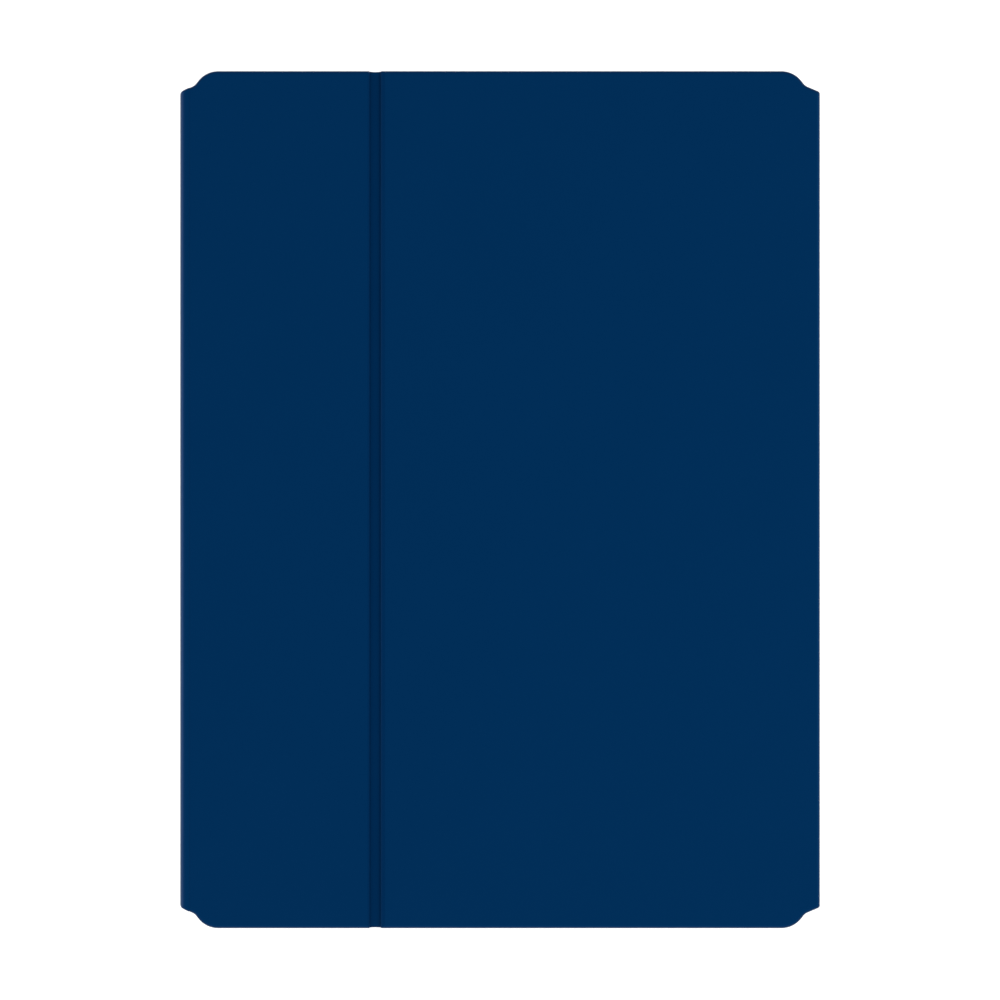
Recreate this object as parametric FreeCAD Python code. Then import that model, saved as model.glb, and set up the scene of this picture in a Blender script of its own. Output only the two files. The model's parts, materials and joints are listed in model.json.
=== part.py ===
"""Folio keyboard case for a 12.9 inch class tablet, closed, in millimetres.

X runs from the spine (-X) to the free edge (+X), Y along the spine, and Z up
through the thickness. The back cover lies on Z = 0 and the front cover is on top.
The origin is the centre of the closed case's footprint, at its underside.
"""
import FreeCAD
import Part
import math
import os

V = FreeCAD.Vector

# ---------------------------------------------------------------- whole case
CASE_W = 232.7            # spine face to free edge
CASE_H = 312.0            # along the spine
CASE_T = 20.0             # closed thickness
COVER_T = 2.4             # each cover
SKIN_T = 0.8              # leather
LINING_T = 0.4            # microfibre
EDGE_ROUND = 0.9          # rounding of the leather at a cover's outer edge

X_SPINE = -CASE_W / 2
X_FREE = CASE_W / 2
Z_FRONT = CASE_T - COVER_T   # underside of the front cover

# outline of a cover's corner: an ogee cut between the side and the end edge
OGEE_R = 9.2              # large convex arc
OGEE_IN = 14.0            # its centre, in from the side
OGEE_STEEP = math.radians(52)    # slope where the large arc stops
OGEE_RUN = 1.2            # straight run down from the large arc
OGEE_HOLLOW_R = 4.0       # concave arc
OGEE_RAMP = math.radians(23)     # slope of the ramp out to the side
OGEE_TIP_R = 1.1          # small rounding where the ramp meets the side

# ---------------------------------------------------------------- spine, folds
SPINE_H = 295.2           # the spine is shorter than the covers
SPINE_T = 2.2
FOLD_R = 2.4              # outer radius of the leather at the spine's corners
HINGE_IN = 3.3            # spine face to the first board
FOLD_X0 = X_SPINE + 68.9  # fold channel in the front cover
FOLD_X1 = X_SPINE + 72.6
FOLD_Z0 = 17.9
FOLD_Z1 = 19.1
NEAR = 0.05               # gap where two pieces of different bodies face each other

# ---------------------------------------------------------------- tablet shell
TABLET_W = 220.6
TABLET_H = 305.7
TABLET_T = 6.9
SHELL_X0 = -112.2
SHELL_WALL_X = 2.1
SHELL_WALL_Y = 1.95
SHELL_FLOOR_T = 1.2
SHELL_LIP_T = 0.5
SHELL_LIP_OVER = 0.6
SHELL_R = 12.5
PAD_T = 0.3
TABLET_PLAY = 0.2

POCKET_X0 = SHELL_X0 + SHELL_WALL_X
POCKET_X1 = POCKET_X0 + TABLET_W + 2 * TABLET_PLAY
POCKET_Y = TABLET_H / 2 + TABLET_PLAY
SHELL_X1 = POCKET_X1 + SHELL_WALL_X
SHELL_Y = POCKET_Y + SHELL_WALL_Y
FLOOR_Z = COVER_T + SHELL_FLOOR_T
SEAT_Z = FLOOR_Z + PAD_T
LIP_Z = SEAT_Z + TABLET_T + 0.05
SHELL_TOP = LIP_Z + SHELL_LIP_T

CAMERA_X = POCKET_X1 - 17.0
CAMERA_Y = POCKET_Y - 17.0
CAMERA_R = 7.0
TRIM_R = 8.4
NOTCH_Z = SEAT_Z + 0.6

# ---------------------------------------------------------------- keyboard
KB_X0 = -30.0             # edge beside the fold
KB_X1 = 100.0             # edge beside the cover's free edge
KB_Y = 145.0
KB_R = 7.0
DECK_Z = 13.5             # face of the deck, looking down at the tablet
DECK_T = 1.0
KB_WALL = 1.5
TRAY_Z = 16.7
KB_BACK = Z_FRONT - 0.1   # back of the tray, on the front cover's lining
MEMBRANE_Z = 15.8
PLATE_Z = 16.1

PITCH = 18.5
KEY_GAP = 3.0
KEY_TOP = 11.8
KEY_SKIRT = 14.3
KEY_WALL = 0.8
KEY_TAPER = 0.45
KEY_CHAMFER = 0.35
KEY_R = 1.6
KEY_PLAY = 0.25
KEY_TRAVEL = 1.4

ROW_UNITS = 15.0
ROW_X0 = -13.0            # first key row starts here
FUNCTION_PITCH = 12.5

SOCKET_X = -21.0
SOCKET_W = 8.94
SOCKET_H = 3.16
SOCKET_L = 7.3
SOCKET_Z = 15.55
SWITCH_X0 = -9.0
SWITCH_X1 = -2.5
SWITCH_KNOB = 3.6
SWITCH_Z0 = 14.9
SWITCH_Z1 = 16.2
LENS_X = -21.5
LENS_YS = (-100.0, -106.0, -112.0)
SCREWS = [(-27.0, 134.5), (-21.5, 68.0), (95.5, 134.5), (95.5, 68.0)]
BUMPERS = [(96.0, 110.0), (-21.5, 45.0)]
BUMPER_TIP = 11.5


# ---------------------------------------------------------------- helpers
def block(x0, x1, y0, y1, z0, z1):
    return Part.makeBox(x1 - x0, y1 - y0, z1 - z0, V(x0, y0, z0))


def pin(x, y, z0, z1, radius):
    return Part.makeCylinder(radius, z1 - z0, V(x, y, z0))


def rounded_wire(x0, x1, y0, y1, z, radius):
    """Closed rectangle with round corners, at height z."""
    edges = []
    corners = [(x1 - radius, y1 - radius, 0), (x0 + radius, y1 - radius, 90),
               (x0 + radius, y0 + radius, 180), (x1 - radius, y0 + radius, 270)]
    points = []
    for cx, cy, start in corners:
        spots = []
        for turn in (0, 45, 90):
            a = math.radians(start + turn)
            spots.append(V(cx + radius * math.cos(a), cy + radius * math.sin(a), z))
        points.append(spots)
    for i, spots in enumerate(points):
        edges.append(Part.Arc(*spots).toShape())
        following = points[(i + 1) % 4][0]
        if spots[2].distanceToPoint(following) > 1e-6:
            edges.append(Part.LineSegment(spots[2], following).toShape())
    return Part.Wire(edges)


def rounded_block(x0, x1, y0, y1, z0, z1, radius):
    face = Part.Face(rounded_wire(x0, x1, y0, y1, z0, radius))
    return face.extrude(V(0, 0, z1 - z0))


def mirrored_y(shape):
    return shape.mirror(V(0, 0, 0), V(0, 1, 0))


def both_sides(shape):
    return [shape, mirrored_y(shape)]


def export(name, shapes):
    solids = []
    for shape in shapes if isinstance(shapes, list) else [shapes]:
        solids.extend(shape.Solids)
    for solid in solids:
        if not solid.isValid():
            print("not valid:", name)
    shape = solids[0] if len(solids) == 1 else Part.makeCompound(solids)
    shape.exportStep("parts/" + name + ".step")
    print("%-24s solids %3d  volume %10.1f" % (name, len(solids), shape.Volume))


# ---------------------------------------------------------------- cover outline
def ogee_corner():
    """Points of one corner, from the end edge out to the side.

    Each point is (in from the side, down from the end edge). The large arc, the
    hollow and the tip each give three points, and straight runs join them.
    """
    def on(centre, radius, angle):
        return (centre[0] - radius * math.sin(angle), centre[1] - radius * math.cos(angle))

    big = (OGEE_IN, OGEE_R)
    arc = [on(big, OGEE_R, OGEE_STEEP * k / 2) for k in range(3)]
    run = (arc[2][0] - OGEE_RUN * math.cos(OGEE_STEEP),
           arc[2][1] + OGEE_RUN * math.sin(OGEE_STEEP))
    hollow = (run[0] - OGEE_HOLLOW_R * math.sin(OGEE_STEEP),
              run[1] - OGEE_HOLLOW_R * math.cos(OGEE_STEEP))
    bend = OGEE_STEEP - OGEE_RAMP
    inner = [on(hollow, -OGEE_HOLLOW_R, OGEE_STEEP - bend * k / 2) for k in range(3)]
    side = inner[2][1] + inner[2][0] * math.tan(OGEE_RAMP)
    turn = math.pi / 2 - OGEE_RAMP
    tangent = OGEE_TIP_R * math.tan(turn / 2)
    tip = (OGEE_TIP_R, side + tangent)
    outer = [on(tip, OGEE_TIP_R, OGEE_RAMP + turn * k / 2) for k in range(3)]
    return arc, inner, outer


def cover_wire(z):
    """The whole cover's outline, with the same ogee at all four corners."""
    arcs = ogee_corner()
    edges = []
    last = None
    first = None
    for sx, sy, reverse in ((1, 1, False), (1, -1, True), (-1, -1, False), (-1, 1, True)):
        groups = [list(group) for group in arcs]
        if reverse:
            groups = [group[::-1] for group in groups[::-1]]
        for group in groups:
            spots = [V(sx * (X_FREE - u), sy * (CASE_H / 2 - v), z) for u, v in group]
            if last is not None:
                edges.append(Part.LineSegment(last, spots[0]).toShape())
            else:
                first = spots[0]
            edges.append(Part.Arc(*spots).toShape())
            last = spots[2]
    edges.append(Part.LineSegment(last, first).toShape())
    return Part.Wire(edges)


def panel_face(x0, x1, z):
    """The part of the cover's outline between two X positions."""
    whole = Part.Face(cover_wire(z))
    strip = Part.makePlane(x1 - x0, CASE_H + 2, V(x0, -CASE_H / 2 - 1, z))
    return whole.common(strip).Faces[0]


def panel_slab(x0, x1, z0, z1, inset=0.0):
    face = panel_face(x0, x1, z0)
    if inset:
        face = face.makeOffset2D(-inset)
        face = face if face.ShapeType == "Face" else face.Faces[0]
    return face.extrude(V(0, 0, z1 - z0))


def rounded_at(solid, z, radius):
    """Round the outer edges that lie in the plane at height z."""
    edges = [e for e in solid.Edges
             if abs(e.BoundBox.ZMin - z) < 1e-4 and abs(e.BoundBox.ZMax - z) < 1e-4]
    return solid.makeFillet(radius, edges)


# ---------------------------------------------------------------- covers
def front_panel(x0, x1):
    """Leather tray, board and lining of one panel of the front cover."""
    skin = rounded_at(panel_slab(x0, x1, Z_FRONT, CASE_T), CASE_T, EDGE_ROUND)
    pocket = panel_slab(x0, x1, Z_FRONT - 1, CASE_T - SKIN_T, SKIN_T)
    board = panel_slab(x0, x1, Z_FRONT + LINING_T, CASE_T - SKIN_T, SKIN_T)
    lining = panel_slab(x0, x1, Z_FRONT, Z_FRONT + LINING_T, SKIN_T)
    return skin.cut(pocket), board, lining


def magnet_blocks(spots, size_x, size_y, z0, z1):
    blocks = []
    for x, y in spots:
        blocks.append(block(x - size_x / 2, x + size_x / 2, y - size_y / 2, y + size_y / 2, z0, z1))
    return blocks


CLOSURE_SPOTS = [(107.0, y) for y in (-108.0, -72.0, 72.0, 108.0)]
HOLD_SPOTS = [(x, y) for x in (-22.0, 95.0) for y in (-120.0, 0.0, 120.0)]


def build_front_cover():
    skin, board, lining = front_panel(X_SPINE + HINGE_IN, FOLD_X0)
    export("front_small_skin", skin)
    export("front_small_board", board)
    export("front_small_lining", lining)

    skin, board, lining = front_panel(FOLD_X1, X_FREE)
    z0 = Z_FRONT + LINING_T
    z1 = CASE_T - SKIN_T
    closure = magnet_blocks(CLOSURE_SPOTS, 8.0, 22.0, z0, z1)
    hold = magnet_blocks(HOLD_SPOTS, 9.0, 16.0, z0, z1)
    export("front_main_skin", skin)
    export("front_main_board", board.cut(Part.makeCompound(closure + hold)))
    export("front_main_lining", lining)
    export("closure_magnets_front", closure)
    export("keyboard_magnets", hold)

    half = CASE_H / 2 - 0.4
    export("front_fold_gusset",
           block(FOLD_X0 + NEAR, FOLD_X1 - NEAR, -half, half, FOLD_Z0, FOLD_Z1))


def build_back_cover():
    x0 = X_SPINE + HINGE_IN
    camera = pin(CAMERA_X, CAMERA_Y, -1, COVER_T + 1, TRIM_R)
    skin = rounded_at(panel_slab(x0, X_FREE, 0, COVER_T), 0, EDGE_ROUND)
    pocket = panel_slab(x0, X_FREE, SKIN_T, COVER_T + 1, SKIN_T)
    board = panel_slab(x0, X_FREE, SKIN_T, COVER_T, SKIN_T)
    magnets = magnet_blocks(CLOSURE_SPOTS, 8.0, 22.0, SKIN_T + 0.2, COVER_T)
    export("back_cover_skin", skin.cut(pocket).cut(camera))
    export("back_cover_board", board.cut(camera).cut(Part.makeCompound(magnets)))
    export("closure_magnets_back", magnets)
    ring = pin(CAMERA_X, CAMERA_Y, 0.15, COVER_T, TRIM_R)
    bore = pin(CAMERA_X, CAMERA_Y, 0, COVER_T + 1, CAMERA_R)
    flare = Part.makeCone(CAMERA_R + 0.7, CAMERA_R, 0.7, V(CAMERA_X, CAMERA_Y, 0.15))
    export("camera_trim_ring", ring.cut(bore).cut(flare))


# ---------------------------------------------------------------- spine
def fold_strip(z_corner, up):
    """Leather round one corner of the spine: a quarter arc and a short flat."""
    def arc(radius):
        spots = []
        for turn in (0, 45, 90):
            a = math.radians(turn)
            spots.append(V(centre_x - radius * math.cos(a), 0, centre_z + up * radius * math.sin(a)))
        return spots

    centre_x = X_SPINE + FOLD_R
    centre_z = z_corner - up * FOLD_R
    outer = arc(FOLD_R)
    inner = arc(FOLD_R - SKIN_T)
    end = X_SPINE + HINGE_IN - NEAR
    loop = [outer[2], V(end, 0, outer[2].z), V(end, 0, inner[2].z), inner[2]]
    edges = [Part.Arc(*outer).toShape()]
    for a, b in zip(loop[:-1], loop[1:]):
        edges.append(Part.LineSegment(a, b).toShape())
    edges.append(Part.Arc(*inner[::-1]).toShape())
    edges.append(Part.LineSegment(inner[0], outer[0]).toShape())
    strip = Part.Face(Part.Wire(edges)).extrude(V(0, SPINE_H, 0))
    strip.translate(V(0, -SPINE_H / 2, 0))
    return strip


def build_spine():
    half = SPINE_H / 2
    z0 = FOLD_R + NEAR
    z1 = CASE_T - FOLD_R - NEAR
    x1 = X_SPINE + SPINE_T
    board_x = x1 - LINING_T

    def layer(near, far):
        return block(near, far, -half + SKIN_T, half - SKIN_T, z0 + SKIN_T, z1 - SKIN_T)

    skin = block(X_SPINE, x1, -half, half, z0, z1).cut(layer(X_SPINE + SKIN_T, x1 + 1))
    export("spine_skin", skin)
    export("spine_board", layer(X_SPINE + SKIN_T, board_x))
    export("spine_lining", layer(board_x, x1))
    export("spine_back_gusset", fold_strip(0, -1))
    export("spine_front_gusset", fold_strip(CASE_T, 1))


# ---------------------------------------------------------------- tablet shell
def slot_y(x, width, z0, z1, y0, y1):
    """Round-ended slot through the top or bottom wall of the shell."""
    radius = (z1 - z0) / 2
    middle = block(x - width / 2 + radius, x + width / 2 - radius, y0, y1, z0, z1)
    ends = []
    for side in (-1, 1):
        base = V(x + side * (width / 2 - radius), y0, (z0 + z1) / 2)
        ends.append(Part.makeCylinder(radius, y1 - y0, base, V(0, 1, 0)))
    return middle.fuse(ends)


def shell_cuts():
    wall_in = POCKET_Y - 1
    wall_out = SHELL_Y + 1
    cuts = [block(-8, 8, -wall_out, -wall_in, NOTCH_Z, SHELL_TOP + 1)]
    for x0, x1 in ((-97, -83), (83, 98)):
        cuts.append(block(x0, x1, wall_in, wall_out, NOTCH_Z, SHELL_TOP + 1))
    cuts.append(block(POCKET_X1 - 1, SHELL_X1 + 1, 90, 124, NOTCH_Z, SHELL_TOP + 1))
    for x in (-48, 48):
        for y0, y1 in ((-wall_out, -wall_in), (wall_in, wall_out)):
            cuts.append(slot_y(x, 36, SEAT_Z + 1.8, SEAT_Z + 4.6, y0, y1))
    cuts.append(pin(CAMERA_X, CAMERA_Y, COVER_T - 1, FLOOR_Z + 1, CAMERA_R))
    return cuts


def build_shell():
    body = rounded_block(SHELL_X0, SHELL_X1, -SHELL_Y, SHELL_Y, COVER_T, SHELL_TOP, SHELL_R)
    body = rounded_at(body, SHELL_TOP, 0.7)
    pocket = rounded_block(POCKET_X0, POCKET_X1, -POCKET_Y, POCKET_Y, FLOOR_Z, LIP_Z,
                           SHELL_R - SHELL_WALL_X)
    over = SHELL_LIP_OVER
    mouth = rounded_block(POCKET_X0 + over, POCKET_X1 - over, -POCKET_Y + over, POCKET_Y - over,
                          FLOOR_Z, SHELL_TOP + 1, SHELL_R - SHELL_WALL_X - over)
    shell = body.cut([pocket, mouth] + shell_cuts())
    export("tablet_shell", shell)
    gap = 1.0
    pad = rounded_block(POCKET_X0 + gap, POCKET_X1 - gap, -POCKET_Y + gap, POCKET_Y - gap,
                        FLOOR_Z, SEAT_Z, SHELL_R - SHELL_WALL_X - gap)
    export("shell_pad", pad.cut(pin(CAMERA_X, CAMERA_Y, FLOOR_Z - 1, SEAT_Z + 1, CAMERA_R + 1)))


# ---------------------------------------------------------------- keys
def key_rows():
    """Every key as (node, x0, x1, y0, y1), with its whole cell.

    Units run from the left end of a row, which is at +Y, towards -Y.
    """
    single = 1.0
    function_unit = ROW_UNITS / 14
    rows = [
        (FUNCTION_PITCH, [("key_escape", function_unit)]
         + [("function_row_keys", function_unit)] * 13),
        (PITCH, [("number_row_keys", single)] * 13 + [("key_backspace", 2.0)]),
        (PITCH, [("key_tab", 1.5)] + [("upper_row_keys", single)] * 12
         + [("upper_row_keys", 1.5)]),
        (PITCH, [("key_caps_lock", 1.75)] + [("home_row_keys", single)] * 11
         + [("key_enter", 2.25)]),
        (PITCH, [("key_shift_left", 2.25)] + [("lower_row_keys", single)] * 10
         + [("key_shift_right", 2.75)]),
        (PITCH, [("key_function", 1.0), ("key_control", 1.0), ("key_option_left", 1.0),
                 ("key_command_left", 1.25), ("key_space", 5.5), ("key_command_right", 1.25),
                 ("key_option_right", 1.0), ("key_arrow_left", 1.0), ("arrow_pair", 1.0),
                 ("key_arrow_right", 1.0)]),
    ]
    cells = []
    x = ROW_X0
    for depth, keys in rows:
        y = ROW_UNITS * PITCH / 2
        for node, units in keys:
            width = units * PITCH
            if node == "arrow_pair":
                middle = x + depth / 2
                lap = KEY_GAP / 2 - 0.4
                cells.append(("key_arrow_up", x, middle + lap, y - width, y))
                cells.append(("key_arrow_down", middle - lap, x + depth, y - width, y))
            else:
                cells.append((node, x, x + depth, y - width, y))
            y -= width
        x += depth
    return cells


def key_area(cell, grow=0.0):
    half = KEY_GAP / 2 - grow
    _, x0, x1, y0, y1 = cell
    return x0 + half, x1 - half, y0 + half, y1 - half


def keycap(cell):
    """Hollow cap, tapered to its top, which faces -Z."""
    x0, x1, y0, y1 = key_area(cell)
    edge = KEY_TOP + KEY_CHAMFER
    inner = KEY_TAPER + KEY_CHAMFER
    sections = []
    for z, inset in ((KEY_SKIRT, 0.0), (edge, KEY_TAPER), (KEY_TOP, inner)):
        sections.append(rounded_wire(x0 + inset, x1 - inset, y0 + inset, y1 - inset, z,
                                     KEY_R - inset / 2))
    cap = Part.makeLoft(sections, True, True)
    hollow = KEY_WALL + KEY_TAPER
    return cap.cut(rounded_block(x0 + hollow, x1 - hollow, y0 + hollow, y1 - hollow,
                                 KEY_TOP + KEY_WALL, KEY_SKIRT + 1, 0.6))


def build_keys():
    groups = {}
    for cell in key_rows():
        groups.setdefault(cell[0], []).append(keycap(cell))
    for node, caps in groups.items():
        export(node, caps)


# ---------------------------------------------------------------- keyboard body
def screw_spots():
    return [(x, side * y) for x, y in SCREWS for side in (1, -1)]


def socket_outline(grow):
    """Round-ended body of the charging socket, pointing along Y."""
    half_h = SOCKET_H / 2 + grow
    half_w = SOCKET_W / 2 + grow
    y0 = KB_Y - SOCKET_L - grow
    y1 = KB_Y + 1
    return slot_y(SOCKET_X, 2 * half_w, SOCKET_Z - half_h, SOCKET_Z + half_h, y0, y1)


def build_deck():
    deck = rounded_block(KB_X0, KB_X1, -KB_Y, KB_Y, DECK_Z, TRAY_Z, KB_R)
    deck = rounded_at(deck, DECK_Z, 0.8)
    cavity = rounded_block(KB_X0 + KB_WALL, KB_X1 - KB_WALL, -KB_Y + KB_WALL, KB_Y - KB_WALL,
                           DECK_Z + DECK_T, TRAY_Z + 1, KB_R - KB_WALL)
    deck = deck.cut(cavity)
    bosses = [pin(x, y, DECK_Z + DECK_T - 0.1, TRAY_Z, 1.9) for x, y in screw_spots()]
    deck = deck.fuse(bosses)
    cuts = []
    for cell in key_rows():
        x0, x1, y0, y1 = key_area(cell, KEY_PLAY)
        cuts.append(rounded_block(x0, x1, y0, y1, DECK_Z - 1, DECK_Z + DECK_T + 0.5,
                                  KEY_R + KEY_PLAY))
    cuts += [pin(x, y, DECK_Z + DECK_T, TRAY_Z + 1, 0.7) for x, y in screw_spots()]
    cuts += [pin(LENS_X, y, DECK_Z - 1, DECK_Z + DECK_T + 1, 0.8) for y in LENS_YS]
    cuts.append(socket_outline(0))
    cuts.append(block(SWITCH_X0, SWITCH_X1, KB_Y - KB_WALL - 0.5, KB_Y + 1,
                      SWITCH_Z0 - 0.15, SWITCH_Z1 + 0.15))
    export("keyboard_top_deck", deck.cut(cuts))


def build_tray():
    tray = rounded_block(KB_X0, KB_X1, -KB_Y, KB_Y, TRAY_Z, KB_BACK, KB_R)
    tray = rounded_at(tray, KB_BACK, 0.5)
    cuts = [pin(x, y, TRAY_Z - 1, KB_BACK + 1, 0.9) for x, y in screw_spots()]
    cuts += [pin(x, y, KB_BACK - 0.45, KB_BACK + 1, 1.7) for x, y in screw_spots()]
    cuts.append(socket_outline(0))
    export("keyboard_bottom_tray", tray.cut(cuts))
    screws = []
    for x, y in screw_spots():
        head = pin(x, y, KB_BACK - 0.45, KB_BACK - 0.05, 1.6)
        recess = pin(x, y, KB_BACK - 0.3, KB_BACK + 1, 0.6)
        screws.append(head.fuse(pin(x, y, DECK_Z + DECK_T + 0.3, KB_BACK - 0.4, 0.7)).cut(recess))
    export("keyboard_screws", screws)


def plate_outline(z0, z1, inset):
    """Sheet under all the keys, clear of the bosses at the free side."""
    x0 = ROW_X0 - 1.0 + inset
    x1 = 92.5 - inset
    half = ROW_UNITS * PITCH / 2 + 1.0 - inset
    return rounded_block(x0, x1, -half, half, z0, z1, 2.0)


def build_inside():
    export("switch_membrane", plate_outline(MEMBRANE_Z, PLATE_Z, 0.4))
    export("key_support_plate", plate_outline(PLATE_Z, TRAY_Z, 0.0))
    domes = []
    for cell in key_rows():
        x0, x1, y0, y1 = key_area(cell)
        cx = (x0 + x1) / 2
        cy = (y0 + y1) / 2
        tip = KEY_TOP + KEY_WALL + KEY_TRAVEL + 0.1
        radius = min(3.0, (x1 - x0) / 2 - KEY_WALL - KEY_TAPER - 0.5)
        domes.append(Part.makeCone(radius * 0.55, radius, MEMBRANE_Z - tip, V(cx, cy, tip)))
    export("rubber_domes", domes)

    lip = KB_X0 + KB_WALL
    export("battery", rounded_block(lip + 0.7, ROW_X0 - 2.0, -62, 62, 14.7, 16.5, 0.8))
    board = block(lip + 0.9, ROW_X0 - 2.0, 74, 132, 15.9, TRAY_Z)
    chips = [block(-25, -19, y, y + 6, 14.9, 15.9) for y in (84, 100, 116)]
    export("controller_board", board.fuse(chips))

    outer = socket_outline(0)
    outer = outer.common(block(-40, 0, 0, KB_Y - 0.1, 0, 30))
    wall = 0.3
    mouth = slot_y(SOCKET_X, SOCKET_W - 2 * wall, SOCKET_Z - SOCKET_H / 2 + wall,
                   SOCKET_Z + SOCKET_H / 2 - wall, KB_Y - 6.2, KB_Y + 1)
    tongue = block(SOCKET_X - 3.35, SOCKET_X + 3.35, KB_Y - 6.4, KB_Y - 0.7,
                   SOCKET_Z - 0.35, SOCKET_Z + 0.35)
    export("usb_socket", outer.cut(mouth).fuse(tongue))

    export("indicator_lenses",
           [pin(LENS_X, y, DECK_Z, DECK_Z + DECK_T, 0.8) for y in LENS_YS])


def build_small_parts():
    bumpers = []
    for x, y in BUMPERS:
        pad = rounded_block(x - 2, x + 2, y - 8, y + 8, BUMPER_TIP, DECK_Z, 1.99)
        bumpers += both_sides(rounded_at(pad, BUMPER_TIP, 0.5))
    export("keyboard_bumpers", bumpers)

    inside = KB_Y - KB_WALL - 0.7
    knob_x1 = SWITCH_X0 + 0.2 + SWITCH_KNOB
    knob = block(SWITCH_X0 + 0.2, knob_x1, inside, KB_Y + 0.6, SWITCH_Z0, SWITCH_Z1)
    foot = block(SWITCH_X0 - 0.6, knob_x1 + 0.8, inside - 0.3, inside + 0.5,
                 SWITCH_Z0 - 0.3, SWITCH_Z1 + 0.3)
    grooves = []
    for k in range(3):
        x = SWITCH_X0 + 0.9 + 0.9 * k
        grooves.append(block(x, x + 0.35, KB_Y + 0.35, KB_Y + 1, SWITCH_Z0 - 1, SWITCH_Z1 + 1))
    export("power_switch_slider", knob.fuse(foot).cut(grooves))


def main():
    os.makedirs("parts", exist_ok=True)
    build_back_cover()
    build_shell()
    build_spine()
    build_front_cover()
    build_deck()
    build_tray()
    build_inside()
    build_small_parts()
    build_keys()


main()
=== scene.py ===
import json
import math

import bmesh
import bpy
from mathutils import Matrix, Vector


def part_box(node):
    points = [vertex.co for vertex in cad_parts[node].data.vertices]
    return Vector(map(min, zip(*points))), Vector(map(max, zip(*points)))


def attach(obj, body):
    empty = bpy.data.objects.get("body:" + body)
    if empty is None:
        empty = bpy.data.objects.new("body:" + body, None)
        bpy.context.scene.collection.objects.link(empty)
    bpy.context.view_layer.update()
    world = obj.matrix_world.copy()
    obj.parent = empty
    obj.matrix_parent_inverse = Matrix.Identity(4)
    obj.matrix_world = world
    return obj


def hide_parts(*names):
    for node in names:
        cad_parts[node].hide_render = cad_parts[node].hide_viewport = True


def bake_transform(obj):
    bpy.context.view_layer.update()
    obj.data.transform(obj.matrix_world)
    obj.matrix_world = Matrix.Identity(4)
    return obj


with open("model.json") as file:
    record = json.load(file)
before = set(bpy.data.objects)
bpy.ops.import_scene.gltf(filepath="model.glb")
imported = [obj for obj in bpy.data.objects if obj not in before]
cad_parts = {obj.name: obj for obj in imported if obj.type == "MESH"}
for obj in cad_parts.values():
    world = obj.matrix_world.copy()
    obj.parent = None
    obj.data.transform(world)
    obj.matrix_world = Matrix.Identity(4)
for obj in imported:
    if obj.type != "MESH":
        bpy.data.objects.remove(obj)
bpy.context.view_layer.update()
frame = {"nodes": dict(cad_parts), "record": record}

# Lengths below are millimetres; M turns them into the frame's metres.
M = 0.001


def node_box(node):
    """Lowest and highest corner of a CAD node, in millimetres."""
    low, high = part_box(node)
    return low / M, high / M


# ------------------------------------------------------------ sizes from the frame
MAIN_LOW, MAIN_HIGH = node_box("front_main_skin")
SMALL_LOW, SMALL_HIGH = node_box("front_small_skin")
SPINE_LOW, SPINE_HIGH = node_box("spine_skin")
PAD_LOW, PAD_HIGH = node_box("shell_pad")
RING_LOW, RING_HIGH = node_box("camera_trim_ring")

X_SPINE = SPINE_LOW.x
X_FREE = MAIN_HIGH.x
PULL_IN = 0.2             # how far the stretched leather ends inside the CAD's top and bottom
HALF_H = MAIN_HIGH.y - PULL_IN
TOP = MAIN_HIGH.z
COVER_T = MAIN_HIGH.z - MAIN_LOW.z
CHANNEL_SHIFT = 0.3       # how much nearer the free edge the fold channel lies than in the CAD
FOLD_X0 = SMALL_HIGH.x + CHANNEL_SHIFT
FOLD_X1 = MAIN_LOW.x + CHANNEL_SHIFT
HINGE_X = SMALL_LOW.x     # where the boards of both covers start
CAMERA_X = (RING_LOW.x + RING_HIGH.x) / 2
CAMERA_Y = (RING_LOW.y + RING_HIGH.y) / 2
CAMERA_R = (RING_HIGH.x - RING_LOW.x) / 2
SKIN_T = 0.8              # leather
LINING_T = 0.4            # microfibre
FOLD_R = 2.4              # outer radius of the leather at the spine's corners

# the ogee cut at each corner of a cover, from its end edge to its side
BIG_R = 9.2               # large convex arc
BIG_IN = 14.0             # its centre, in from the side
STEEP = math.radians(52)  # slope where the large arc stops
RUN = 1.2                 # straight run down from the large arc
HOLLOW_R = 4.0            # concave arc
RAMP = math.radians(23)   # slope of the ramp out to the side
TIP_R = 1.1               # rounding where the ramp meets the side

# a cover's leather: how far in the rounded edge reaches, and how far down
ROUND_IN = 1.25
ROUND_DOWN = 1.0
TURN_IN = 5.0             # width of the leather turned in over the board


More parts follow.
